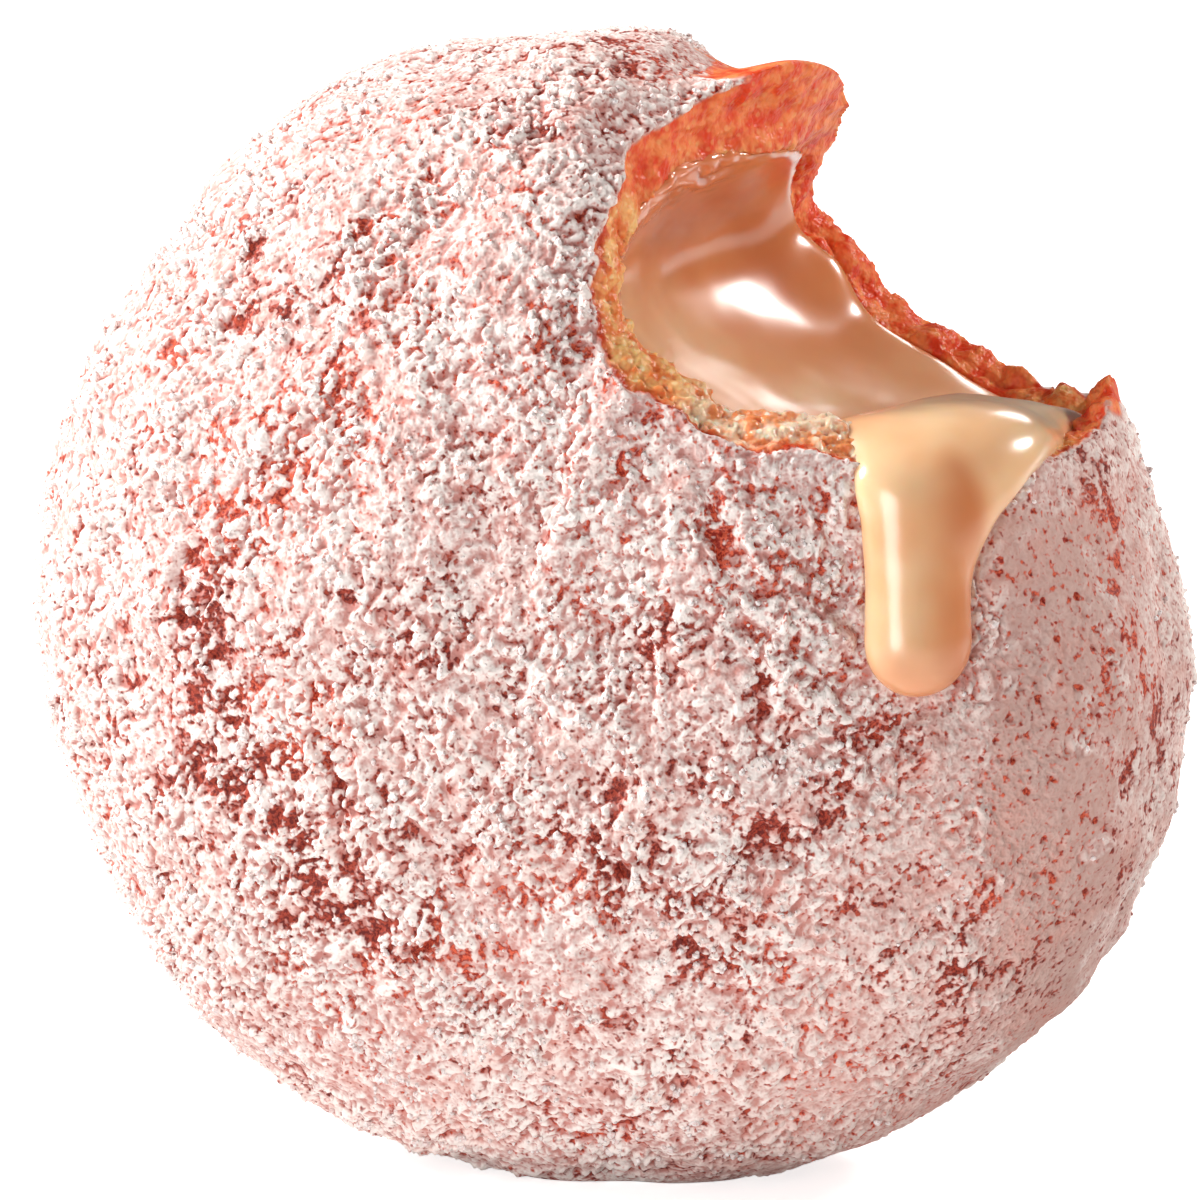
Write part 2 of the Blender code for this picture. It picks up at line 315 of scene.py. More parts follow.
def joined(bm, rings):
    """Faces between each ring of points and the next one."""
    for one, two in zip(rings, rings[1:]):
        for here in range(len(one)):
            following = (here + 1) % len(one)
            bm.faces.new((one[here], one[following], two[following], two[here]))


def tube(radius_at):
    """A closed bar along the bite's middle line, with the radius given at each angle and Y."""
    bm = bmesh.new()
    rings = []
    for row in range(BITE_ROWS + 1):
        y = BITE_LENGTH * (row / BITE_ROWS - 0.5)
        angles = [360.0 * column / BITE_COLUMNS for column in range(BITE_COLUMNS)]
        rings.append([bm.verts.new(along_bite(a, y, radius_at(a, y))) for a in angles])
    joined(bm, rings)
    bm.faces.new(rings[0])
    bm.faces.new(rings[-1])
    return bm


def doughnut_body():
    """The whole doughnut without its bite, cut flat at the foot."""
    bm = bmesh.new()
    bmesh.ops.create_icosphere(bm, subdivisions=BODY_DIVISIONS, radius=1.0)
    for vert in bm.verts:
        vert.co = skin(vert.co.normalized())
    everything = bm.verts[:] + bm.edges[:] + bm.faces[:]
    foot = Vector((0, 0, -CENTRE_HEIGHT))
    cut = bmesh.ops.bisect_plane(
        bm, geom=everything, plane_co=foot, plane_no=(0, 0, -1), clear_outer=True
    )
    rim = [item for item in cut["geom_cut"] if isinstance(item, bmesh.types.BMEdge)]
    bmesh.ops.contextual_create(bm, geom=rim)
    return bm


def cream_pocket(extra):
    """The solid that fills the pocket, larger by the extra."""
    bm = bmesh.new()
    bmesh.ops.create_icosphere(bm, subdivisions=POCKET_DIVISIONS, radius=1.0)
    for vert in bm.verts:
        direction = vert.co.normalized()
        vert.co = POCKET_HEART + direction * pocket_distance(direction, extra)
    return bm


def spline_value(before, start, end, after, share):
    """A smooth curve through start and end that heads for the points on either side."""
    return 0.5 * (
        2 * start
        + (end - before) * share
        + (2 * before - 5 * start + 4 * end - after) * share**2
        + (3 * (start - end) + after - before) * share**3
    )


def spill_stations():
    """Middle, half width and half height of each ring of the spill, but not of its round end."""
    rows = [Vector(row) * MM for row in SPILL]
    for row in rows:
        row[1] += skin_y(row[0], row[2])
    rows = [2 * rows[0] - rows[1], *rows, 2 * rows[-1] - rows[-2]]
    stations = []
    for before, start, end, after in zip(rows, rows[1:], rows[2:], rows[3:]):
        for step in range(SPILL_STEPS):
            stations.append(spline_value(before, start, end, after, step / SPILL_STEPS))
    stations.append(rows[-2])
    return stations


def spill():
    """The cream that runs over the rim and down the face, with a round end."""
    stations = spill_stations()
    last, before = stations[-1], stations[-2]
    heading = Vector((last - before)[:3]).normalized()
    for step in range(1, DRIP_END_STEPS):
        turn = math.radians(90 * step / DRIP_END_STEPS)
        centre = Vector(last[:3]) + heading * last[3] * math.sin(turn)
        size = math.cos(turn)
        stations.append(Vector((*centre, last[3] * size, last[4] * size)))
    bm = bmesh.new()
    rings = []
    for index, station in enumerate(stations):
        one = Vector(stations[max(index - 1, 0)][:3])
        two = Vector(stations[min(index + 1, len(stations) - 1)][:3])
        forward = (two - one).normalized()
        across = (SPILL_ACROSS - forward * SPILL_ACROSS.dot(forward)).normalized()
        outward = forward.cross(across)
        ring = []
        for side in range(SPILL_SIDES):
            turn = math.tau * side / SPILL_SIDES
            offset = across * station[3] * math.cos(turn)
            offset += outward * station[4] * math.sin(turn)
            ring.append(bm.verts.new(Vector(station[:3]) + offset))
        rings.append(ring)
    joined(bm, rings)
    tip = bm.verts.new(Vector(last[:3]) + heading * last[3])
    for side in range(SPILL_SIDES):
        bm.faces.new((rings[-1][side], rings[-1][(side + 1) % SPILL_SIDES], tip))
    bm.faces.new(rings[0])
    return bm


def combine(obj, other, operation):
    """Adds a Boolean modifier."""
    modifier = obj.modifiers.new(operation, "BOOLEAN")
    modifier.operation = operation
    modifier.object = other
    modifier.solver = "MANIFOLD"


def remeshed(obj, voxel, helpers):
    """The object's mesh after its modifiers and an even remesh, as numpy arrays."""
    modifier = obj.modifiers.new("even", "REMESH")
    modifier.mode = "VOXEL"
    modifier.voxel_size = voxel
    bpy.context.view_layer.update()
    graph = bpy.context.evaluated_depsgraph_get()
    mesh = bpy.data.meshes.new_from_object(obj.evaluated_get(graph))
    points = np.empty(len(mesh.vertices) * 3)
    mesh.vertices.foreach_get("co", points)
    sizes = np.empty(len(mesh.polygons), np.int64)
    mesh.polygons.foreach_get("loop_total", sizes)
    if not (sizes == 4).all():
        raise ValueError("the remesh made faces that aren't quads")
    corners = np.empty(len(mesh.loops), np.int64)
    mesh.loops.foreach_get("vertex_index", corners)
    for used in (obj, *helpers):
        bpy.data.objects.remove(used)
    return points.reshape(-1, 3), corners.reshape(-1, 4)


def vertex_normals(points, quads):
    """Each point's normal, from the diagonals of the faces round it."""
    one = points[quads[:, 2]] - points[quads[:, 0]]
    two = points[quads[:, 3]] - points[quads[:, 1]]
    face = np.cross(one, two)
    total = np.zeros_like(points)
    for corner in range(4):
        for axis in range(3):
            total[:, axis] += np.bincount(quads[:, corner], face[:, axis], len(points))
    return total / np.maximum(np.linalg.norm(total, axis=1, keepdims=True), 1e-20)


def relaxed(points, quads, times, share):
    """The points moved towards the middle of their neighbours, several times over."""
    sides = np.concatenate([quads[:, [i, (i + 1) % 4]] for i in range(4)])
    ways = (sides.T, sides.T[::-1])
    count = sum(np.bincount(here, minlength=len(points)) for here, _ in ways)
    for _ in range(times):
        total = np.zeros_like(points)
        for axis in range(3):
            for here, there in ways:
                total[:, axis] += np.bincount(here, points[there, axis], len(points))
        points = points + (total / count[:, None] - points) * share
    return points


# Large odd numbers that scatter the cells' numbers, one for each axis, the seed and each stir
AXIS_PRIMES = (73856093, 19349663, 83492791)
SEED_PRIME = 2654435761
STIRS = ((13, 0x5BD1E995), (15, 0x27D4EB2F), (16, 1))
NOISE_SHIFT = 1000.0  # keeps every cell's number positive
WAVE_HEIGHT = 1.4  # brings the waves' ends to about 1


def hashed(cell, seed):
    """A number from 0 to 1 for each whole-number cell."""
    cell = cell.astype(np.uint32)
    mixed = np.uint32((seed * SEED_PRIME) % 2**32)
    for axis, prime in enumerate(AXIS_PRIMES):
        mixed = mixed ^ cell[..., axis] * np.uint32(prime)
    for shift, factor in STIRS:
        mixed ^= mixed >> np.uint32(shift)
        mixed *= np.uint32(factor)
    return mixed / 2.0**32


SLOPES = np.array(
    [(x, y, 0) for x in (1, -1) for y in (1, -1)]
    + [(x, 0, z) for x in (1, -1) for z in (1, -1)]
    + [(0, y, z) for y in (1, -1) for z in (1, -1)],
    float,
)


def waves(points, length, seed):
    """Smooth random waves of the given length, from about -1 to 1."""
    scaled = points / length + NOISE_SHIFT
    cell = np.floor(scaled).astype(np.int64)
    inside = scaled - cell
    fade = inside**3 * (inside * (inside * 6 - 15) + 10)
    total = np.zeros(len(points))
    for corner in range(8):
        step = np.array([corner & 1, corner >> 1 & 1, corner >> 2 & 1])
        pick = (hashed(cell + step, seed) * len(SLOPES)).astype(int)
        slope = (SLOPES[pick] * (inside - step)).sum(1)
        weight = np.where(step, fade, 1 - fade).prod(1)
        total += weight * slope
    return total * WAVE_HEIGHT


def cells(points, size, seed):
    """Distance to the nearest and second nearest of scattered seeds, in sizes, and its number."""
    scaled = points / size + NOISE_SHIFT
    cell = np.floor(scaled).astype(np.int64)
    nearest = np.full(len(points), 9.0)
    second = np.full(len(points), 9.0)
    number = np.zeros(len(points))
    for i in range(27):
        there = cell + np.array([i % 3 - 1, i // 3 % 3 - 1, i // 9 - 1])
        offset = np.stack([hashed(there, seed + k) for k in range(3)], 1)
        distance = np.linalg.norm(there + offset - scaled, axis=1)
        closer = distance < nearest
        second = np.where(closer, nearest, np.minimum(second, distance))
        number = np.where(closer, hashed(there, seed + 3), number)
        nearest = np.where(closer, distance, nearest)
    return nearest, second, number


def smooth(value, low, high):
    """As ramp, for arrays. With low above high it falls from 1 to 0."""
    share = np.clip((value - low) / (high - low), 0, 1)
    return share * share * (3 - 2 * share)


def seen_from_camera(points):
    """Where points fall in the photograph, in its pixels."""
    a, e = math.radians(VIEW_AZIMUTH), math.radians(VIEW_ELEVATION)
    u = points[:, 0] * math.cos(a) + points[:, 1] * math.sin(a)
    v = -points[:, 0] * math.sin(e) * math.sin(a) + points[:, 1] * math.sin(e) * math.cos(a)
    v += points[:, 2] * math.cos(e)
    scale = PICTURE_SCALE / MM
    return MIDDLE_PIXEL[0] + u * scale, MIDDLE_PIXEL[1] - v * scale


def from_line(x, y, line):
    """How far picture points are from a line of corners, and how far along it they are, 0 to 1."""
    best = np.full(len(x), 1e9)
    along = np.zeros(len(x))
    steps = len(line) - 1
    for i, ((ax, ay), (bx, by)) in enumerate(zip(line, line[1:])):
        length = (bx - ax) ** 2 + (by - ay) ** 2
        share = np.clip(((x - ax) * (bx - ax) + (y - ay) * (by - ay)) / length, 0, 1)
        distance = np.hypot(x - ax - share * (bx - ax), y - ay - share * (by - ay))
        closer = distance < best
        along = np.where(closer, (i + share) / steps, along)
        best = np.where(closer, distance, best)
    return best, along


# Bare clusters of crust, in the photograph's pixels: middle, half sizes, strength
BARE_CLUSTERS = (
    (225, 690, 50, 90, 1.0),
    (290, 840, 36, 70, 0.9),
    (345, 385, 60, 60, 0.7),
    (310, 460, 50, 60, 0.5),
    (300, 310, 50, 40, 0.5),
    (520, 885, 120, 40, 0.6),
    (440, 925, 60, 50, 0.6),
    (580, 820, 40, 50, 0.5),
    (940, 985, 60, 55, 0.9),
    (870, 1040, 80, 25, 0.6),
    (590, 45, 90, 14, 0.9),
    (660, 60, 50, 20, 0.7),
    (250, 240, 26, 36, 0.7),
    (230, 520, 50, 60, 0.5),
    (660, 650, 30, 26, 0.6),
    (715, 560, 20, 60, 0.6),
    (690, 425, 50, 26, 0.5),
    (590, 130, 60, 40, 0.4),
    (700, 905, 60, 50, 0.6),
    (800, 590, 40, 50, 0.4),
    (1090, 500, 26, 50, 0.9),
    (1000, 1100, 60, 30, 0.5),
    (215, 600, 40, 60, 0.8),
    (255, 765, 50, 60, 0.9),
    (325, 900, 60, 50, 0.9),
    (400, 945, 70, 40, 0.8),
    (470, 845, 60, 50, 0.5),
    (640, 810, 60, 60, 0.6),
    (690, 950, 60, 40, 0.7),
    (560, 590, 50, 40, 0.4),
    (760, 530, 30, 60, 0.7),
    # This one, under the drip's end, paints the shade there in the crust's colour
    (880, 725, 60, 30, 0.8),
    (820, 800, 50, 40, 0.6),
    (940, 925, 60, 40, 0.7),
    (1040, 880, 40, 60, 0.5),
    (1110, 780, 26, 90, 0.6),
    (380, 470, 40, 40, 0.6),
    (420, 620, 50, 40, 0.4),
)
# Creases of the crust, in the photograph's pixels: corners, then half width
CREASES = (
    (((700, 440), (712, 500), (722, 560), (735, 620), (755, 700), (768, 740)), 9),
    (((930, 690), (880, 740), (850, 790), (800, 830), (740, 865), (705, 920)), 11),
    (((835, 500), (842, 560), (838, 620), (850, 670)), 8),
    (((300, 640), (330, 720), (345, 790), (330, 850)), 7),
    (((170, 480), (200, 560), (190, 640)), 7),
    (((600, 830), (620, 900), (590, 960)), 6),
)
# Along this line, where the rim light starts, the crust's colour is painted as shade
RIDGE = ((1085, 455), (1108, 520), (1116, 580), (1130, 640), (1150, 700), (1165, 780))
RIDGE_HALF = 8.0
CREASE_WARP = 22  # how far a crease wanders, and the ridge
RIDGE_WARP = 12

# The smooth sugar at the right of the face, whose colour is painted darker as the shade on that
# side, in the same pixels: where each side of it fades
CALM_LEFT = (930, 1030)
CALM_RIGHT = (1135, 1085)
CALM_TOP = (480, 530)
CALM_CORNER = (1050, 1220)  # the lower right, along a slanting line, where it is less smooth
CALM_SLANT = 0.35
CALM_CORNER_SHARE = 0.45
CALM_WARP = 45  # how far its edge wanders, in short waves and in long ones
CALM_WANDER = 30

# Random waves and cells, in millimetres: length, then seed
WARP = (2.4, 10)
COARSE = (2.4, 20)
MEDIUM = (1.05, 21)
FINE = (0.58, 22)
CLOTS = (0.72, 24)
CALM_EDGE = (6.0, 27)
BARE_SPOTS = (3.4, 31)
CREASE_WIDTH = (3.0, 33)
RIDGE_BREAKS = (1.6, 35)
CREASE_BREAKS = (3.2, 38)
PORES = (1.5, 40)
CRUMB_WARP = (1.6, 50)
CRUMB_CELLS = (1.25, 60)
CRUMB_PITS = (0.75, 64)
CRUMB_STRANDS = (1.1, 66)
CRUMB_LUMPS = (3.6, 67)
RIPPLES = (6.0, 70)
SHORT_RIPPLES = (3.0, 71)
STRING_WARP = (2.0, 72)
STRINGS = (1.7, 73)
RED_EDGE = (3.0, 80)
TORN_WANDER = (2.2, 84)
# Long waves with short ones on them: length and seed, then the short ones' share, length and seed
DRIFTS = (6.5, 23, 0.7, 3.6, 28)  # where the sugar lies thick
PATCHES = (7.0, 25, 0.5, 3.0, 26)  # where it is rough
BARE_PATCHES = (9.0, 36, 0.5, 4.0, 37)  # where the crust shows on the sides that nobody sees
CROWDS = (5.0, 90, 0.6, 2.0, 91)  # where loose clots lie

FACING = (-0.25, 0.2)  # how much a point's normal faces the front, where the face's own marks fade
WARP_REACH = 0.6  # millimetres
CLOTS_LEAN = 52.0  # degrees from +X towards +Z, the way in which the sugar is drawn out
CLOTS_STRETCH = 0.38
GRAIN_MEAN = 0.54  # what the grains come to on average, and their small part
SMALL_MEAN = 0.37
DRIFT_HEIGHT = 0.32  # millimetres, like all the heights here
CREASE_DEPTH = 0.75
LIP_HEIGHT = 0.22
PORE_DEPTH = 0.25
BARE_SHIFT = 0.3  # brings the bareness to between 0 and 1


def wave_pair(points, pair):
    """Long waves with short ones on them."""
    length, seed, share, short_length, short_seed = pair
    return waves(points, length, seed) + share * waves(points, short_length, short_seed)


def warps(points, wave):
    """Three kinds of random waves, to move points about."""
    length, seed = wave
    return np.stack([waves(points, length, seed + axis) for axis in range(3)], 1)


def domes(points, size, seed):
    """Rounded clots of sugar of uneven height, with sharp valleys between, from 0 to 1."""
    nearest, second, number = cells(points, size, seed)
    edge = smooth(second - nearest, 0.0, 0.4)
    return edge * (0.35 + 0.65 * number) * (1 - 0.5 * np.minimum(nearest, 1.0) ** 2)


def sugar_grains(q, warp):
    """The sugar's grains and their small part, drawn out along a leaning line."""
    lean = math.radians(CLOTS_LEAN)
    line = np.array([math.cos(lean), 0.0, math.sin(lean)])
    bent = q + WARP_REACH * warp
    bent = bent - CLOTS_STRETCH * (bent @ line)[:, None] * line
    coarse = 0.3 + 0.5 * waves(bent, *COARSE)
    medium = np.abs(waves(bent + 0.3 * warp[:, ::-1], *MEDIUM))
    fine = 0.3 + 0.5 * waves(bent, *FINE)
    small = 0.46 * medium + 0.40 * fine + 0.46 * domes(bent, *CLOTS)
    return 0.50 * coarse + small, small


def calm_share(px, py, q, warp, front):
    """1 where the sugar lies smooth and is painted darker as shade: at the right of the face, and
    less so at its lower right.
    """
    across = px + CALM_WARP * warp[:, 0] + CALM_WANDER * waves(q, *CALM_EDGE)
    calm = front * smooth(across, *CALM_LEFT) * smooth(across, *CALM_RIGHT)
    calm *= smooth(py, *CALM_TOP)
    corner = smooth(across + CALM_SLANT * py, *CALM_CORNER)
    return np.maximum(calm, front * CALM_CORNER_SHARE * corner)


def bare_clusters(px, py, q, front):
    """1 in the middle of each cluster of bare crust, and 0 away from them."""
    cluster = np.zeros(len(px))
    for x, y, wide, high, strength in BARE_CLUSTERS:
        away = ((px - x) / wide) ** 2 + ((py - y) / high) ** 2
        cluster = np.maximum(cluster, strength * np.exp(-away))
    cluster *= front
    elsewhere = (1 - front) * smooth(wave_pair(q, BARE_PATCHES), 0.2, 0.8)
    return np.maximum(cluster, 0.8 * elsewhere)


def creases(px, py, q, warp, front):
    """For one crease after another: how deep it is and how high its lip is, from 0 to 1."""
    for line, half in CREASES:
        moved = (px + CREASE_WARP * warp[:, 0], py + CREASE_WARP * warp[:, 1])
        distance, along = from_line(*moved, line)
        wide = half * (0.8 + 1.0 * np.abs(waves(q, *CREASE_WIDTH)))
        ends = smooth(along, 0.0, 0.12) * smooth(along, 1.0, 0.88)
        groove = front * np.exp(-((distance / wide) ** 2)) * ends
        groove *= 0.35 + 0.65 * smooth(waves(q, *CREASE_BREAKS), -0.4, 0.2)
        lip = front * np.exp(-(((distance - 2.6 * half) / (1.6 * half)) ** 2)) * ends
        yield groove, lip


def ridge_shade_line(px, py, q, warp, front):
    """1 along the ridge at the right, with gaps: a line of crust colour painted as the shade where
    the rim light starts.
    """
    distance, _ = from_line(px + RIDGE_WARP * warp[:, 0], py + RIDGE_WARP * warp[:, 1], RIDGE)
    ridge = front * np.exp(-((distance / RIDGE_HALF) ** 2))
    return ridge * smooth(waves(q, *RIDGE_BREAKS), -0.35, 0.2)


def sugar_relief(points, normals):
    """The sugar's height, how bare the crust is, how calm the sugar, and how pale it is."""
    q = points / MM
    px, py = seen_from_camera(points)
    front = smooth(-normals[:, 1], *FACING)
    warp = warps(q, WARP)
    grains, small = sugar_grains(q, warp)
    calm = calm_share(px, py, q, warp, front)
    patch = smooth(wave_pair(q, PATCHES), -0.4, 0.35)
    rough = (0.45 + 0.65 * patch) * (1 - 0.65 * calm)
    rough *= 0.45 + 0.55 * smooth(np.abs(normals[:, 1]), 0.1, 0.55)
    height = (grains - GRAIN_MEAN) * rough
    height = height + DRIFT_HEIGHT * wave_pair(q, DRIFTS) * (1 - 0.6 * calm)
    bare = 0.36 * bare_clusters(px, py, q, front) + 0.15 * waves(q, *BARE_SPOTS)
    bare = bare + 1.05 * (0.45 - grains) - 0.10 * calm
    bare -= 0.08 * (1 - patch)
    for groove, lip in creases(px, py, q, warp, front):
        height -= CREASE_DEPTH * groove
        # More crust colour shows in the creases, which also paints their shade
        bare += 0.32 * groove
        height += LIP_HEIGHT * lip
    # Painted shade along the ridge at the right, in the crust's colour
    bare = np.maximum(bare, ridge_shade_line(px, py, q, warp, front) * 0.55)
    nearest, _, number = cells(q, *PORES)
    pore = calm * smooth(nearest, 0.32, 0.14) * (number > 0.4)
    height -= PORE_DEPTH * pore
    bare = np.maximum(bare, 0.42 * pore)
    # pale falls in the hollows between the grains, where the sugar's colour paints their shade
    pale = 0.5 + (small - SMALL_MEAN) * rough - 0.05 * (1 - patch)
    return height, np.clip(bare + BARE_SHIFT, 0, 1), calm, pale


# The torn crumb's relief: heights in millimetres, Y in millimetres, directions in degrees
CRUMB_CELL_HEIGHT = 0.40
CRUMB_STRAND_HEIGHT = 0.45
CRUMB_PIT_DEPTH = 0.40
CRUMB_SINK = 0.25
CRUMB_BACK = (2.0, 12.0)
CRUMB_FLAP = (196, 176)
CRUMB_LUMPY = (180, 200)


def crumb_relief(points):
    """The torn crumb: ragged strands with pores between, and lumps along the back."""
    q = points / MM
    bent = q + 0.5 * warps(q, CRUMB_WARP)
    nearest, second, _ = cells(bent, *CRUMB_CELLS)
    pores, _, number = cells(q, *CRUMB_PITS)
    strands = np.abs(waves(bent, *CRUMB_STRANDS))
    back = smooth(q[:, 1], *CRUMB_BACK)
    flap = smooth(bite_direction(points), *CRUMB_FLAP)
    lumps = back * smooth(bite_direction(points), *CRUMB_LUMPY)
    height = CRUMB_CELL_HEIGHT * (second - nearest) + CRUMB_STRAND_HEIGHT * strands
    height = height * (1 - 0.5 * back) * (1 - 0.6 * flap)
    height += (0.25 + 1.0 * lumps) * np.abs(waves(q, *CRUMB_LUMPS)) - 0.1 * back
    pits = smooth(pores, 0.42, 0.12) * (number > 0.4) * (1 - back) * (1 - flap)
    return height - CRUMB_PIT_DEPTH * pits - CRUMB_SINK


def bite_direction(points):
    """The direction of points from the bite's middle line, in degrees."""
    turn = np.arctan2(points[:, 2] - BITE_Z, points[:, 0] - BITE_X)
    return np.degrees(turn) % 360


def from_bite_line(points):
    """The distance of points from the bite's middle line, in millimetres."""
    return np.hypot(points[:, 0] - BITE_X, points[:, 2] - BITE_Z) / MM


# Where the torn walls change, beside the bite: directions in degrees, the rest in millimetres
RED_BACK = (0.0, 9.0)  # along Y
RED_BACK_ENDS = (288, 268)
RED_FLAP = (192, 174)
RED_TIP = (294, 300)
RED_TIP_FRONT = (-6.0, -1.0)
FILM_LEFT = (222, 236)
FILM_RIGHT = (294, 286)
FILM_FRONT = (-6.0, -12.0)
TORN_WANDERS = 1.1
TORN_BACK = (2.0, 7.0)
TORN_BACK_WIDE = (2.6, 1.2)  # out from the bite, and the same below
TORN_BACK_ENDS = (286, 262)
TORN_FLAP = (-6.0, 0.0)
TORN_FLAP_WIDE = (0.6, -0.6)
TORN_FLAP_ENDS = (186, 170)
TORN_TIP = (-2.0, 2.0)
TORN_TIP_WIDE = (3.4, 2.0)
TORN_TIP_ENDS = (295, 300)


def red_crust_and_glow(points):
    """1 where the torn dough is the thin, orange red crust of the back, the flap and the tip, whose
    orange also paints the glow of light through that thin crust.
    """
    q = points / MM
    turn = bite_direction(points)
    wander = waves(q, *RED_EDGE)
    back = smooth(q[:, 1] + 2.0 * wander, *RED_BACK) * smooth(turn, *RED_BACK_ENDS)
    flap = smooth(turn + 6.0 * wander, *RED_FLAP)
    tip = smooth(turn, *RED_TIP) * smooth(q[:, 1], *RED_TIP_FRONT)
    return np.maximum(np.maximum(back, flap), tip)


def smeared(points):
    """1 where a thin film of cream covers the torn crumb, along the lower front of the bite."""
    turn = bite_direction(points)
    lower = smooth(turn, *FILM_LEFT) * smooth(turn, *FILM_RIGHT)
    return lower * smooth(points[:, 1] / MM, *FILM_FRONT)


def torn_edge(points):
    """1 on the skin beside the bite where the tear took the sugar along, mostly at the back."""
    q = points / MM
    turn = bite_direction(points)
    away = from_bite_line(points) - BITE_RADIUS / MM
    away = away + TORN_WANDERS * waves(q, *TORN_WANDER)
    back = smooth(q[:, 1], *TORN_BACK) * smooth(away, *TORN_BACK_WIDE)
    back *= smooth(turn, *TORN_BACK_ENDS)
    flap = smooth(q[:, 1], *TORN_FLAP) * smooth(turn, *TORN_FLAP_ENDS)
    flap *= smooth(away, *TORN_FLAP_WIDE)
    tip = smooth(turn, *TORN_TIP_ENDS) * smooth(q[:, 1], *TORN_TIP)
    tip *= smooth(away, *TORN_TIP_WIDE)
    return np.maximum(np.maximum(back, flap), tip)


def measured_depth(points, body):
    """How deep each point lies under the whole doughnut's skin, in millimetres."""
    tree = BVHTree.FromPolygons(
        [v.co.copy() for v in body.vertices], [tuple(p.vertices) for p in body.polygons]
    )
    return np.array([tree.find_nearest(Vector(p))[3] for p in points]) / MM


def faceted(name, points, faces, look):
    """A mesh from arrays, with its colour data."""
    mesh = bpy.data.meshes.new(name)
    mesh.vertices.add(len(points))
    mesh.vertices.foreach_set("co", points.astype(np.float32).ravel())
    mesh.loops.add(faces.size)
    mesh.loops.foreach_set("vertex_index", faces.ravel().astype(np.int32))
    mesh.polygons.add(len(faces))
    starts = np.arange(0, faces.size, faces.shape[1], dtype=np.int32)
    mesh.polygons.foreach_set("loop_start", starts)
    mesh.update(calc_edges=True)
    layer = mesh.color_attributes.new("look", "FLOAT_COLOR", "POINT")
    layer.data.foreach_set("color", look.astype(np.float32).ravel())
    mesh.shade_smooth()
    return mesh


def add_piece(name, mesh, material, node):
    mesh.materials.append(material)
    obj = bpy.data.objects.new(name, mesh)
    bpy.context.scene.collection.objects.link(obj)
    obj.location.z = CENTRE_HEIGHT
    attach(obj, "root")
    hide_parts(node)
    return obj


def mesh_arrays(mesh):
    """The points and normals of a mesh, and its colour data."""
    points, normals = np.empty((2, len(mesh.vertices) * 3), np.float32)
    look = np.empty(len(mesh.vertices) * 4, np.float32)
    mesh.vertices.foreach_get("co", points)
    mesh.vertices.foreach_get("normal", normals)
    mesh.color_attributes["look"].data.foreach_get("color", look)
    return points.reshape(-1, 3).astype(float), normals.reshape(-1, 3), look.reshape(-1, 4)


def thin_out(obj, coarse, kept):
    """Fewer triangles where coarse is true, as this part of the mesh shows little."""
    group = obj.vertex_groups.new(name="coarse")
    for number in np.flatnonzero(coarse).tolist():
        group.add((number,), 1.0, "REPLACE")
    modifier = obj.modifiers.new("thin", "DECIMATE")
    modifier.ratio = 1 - (1 - kept) * coarse.mean()
    modifier.vertex_group = group.name
    modifier.vertex_group_factor = 1000.0
    graph = bpy.context.evaluated_depsgraph_get()
    mesh = bpy.data.meshes.new_from_object(obj.evaluated_get(graph))
    obj.modifiers.clear()
    obj.vertex_groups.clear()
    obj.data = mesh
    mesh.shade_smooth()


# Which part of the dough's mesh is what: millimetres under the skin, and from the bite's line
SKIN_DEPTH = 0.7
CRUMB_DEPTH = 0.15
WALL_DEPTH = (0.2, 0.6)
TORN_DEPTH = (3.0, 1.0)
DEEPEST = 6.0  # the depth that the colour data can tell
TORN_SHADE = 0.14  # torn skin is coloured as if it lay this share of that deep
HIDDEN_DEPTH = 1.0
HIDDEN_FROM_BITE = 27.0
BEHIND_Y = 8.0 * MM
BEHIND_DEPTH = 0.1  # a share of DEEPEST
BEHIND_FROM_BITE = 25.0
FOOT_FADE = (0.1 * MM, 1.2 * MM)  # the relief fades to nothing at the foot


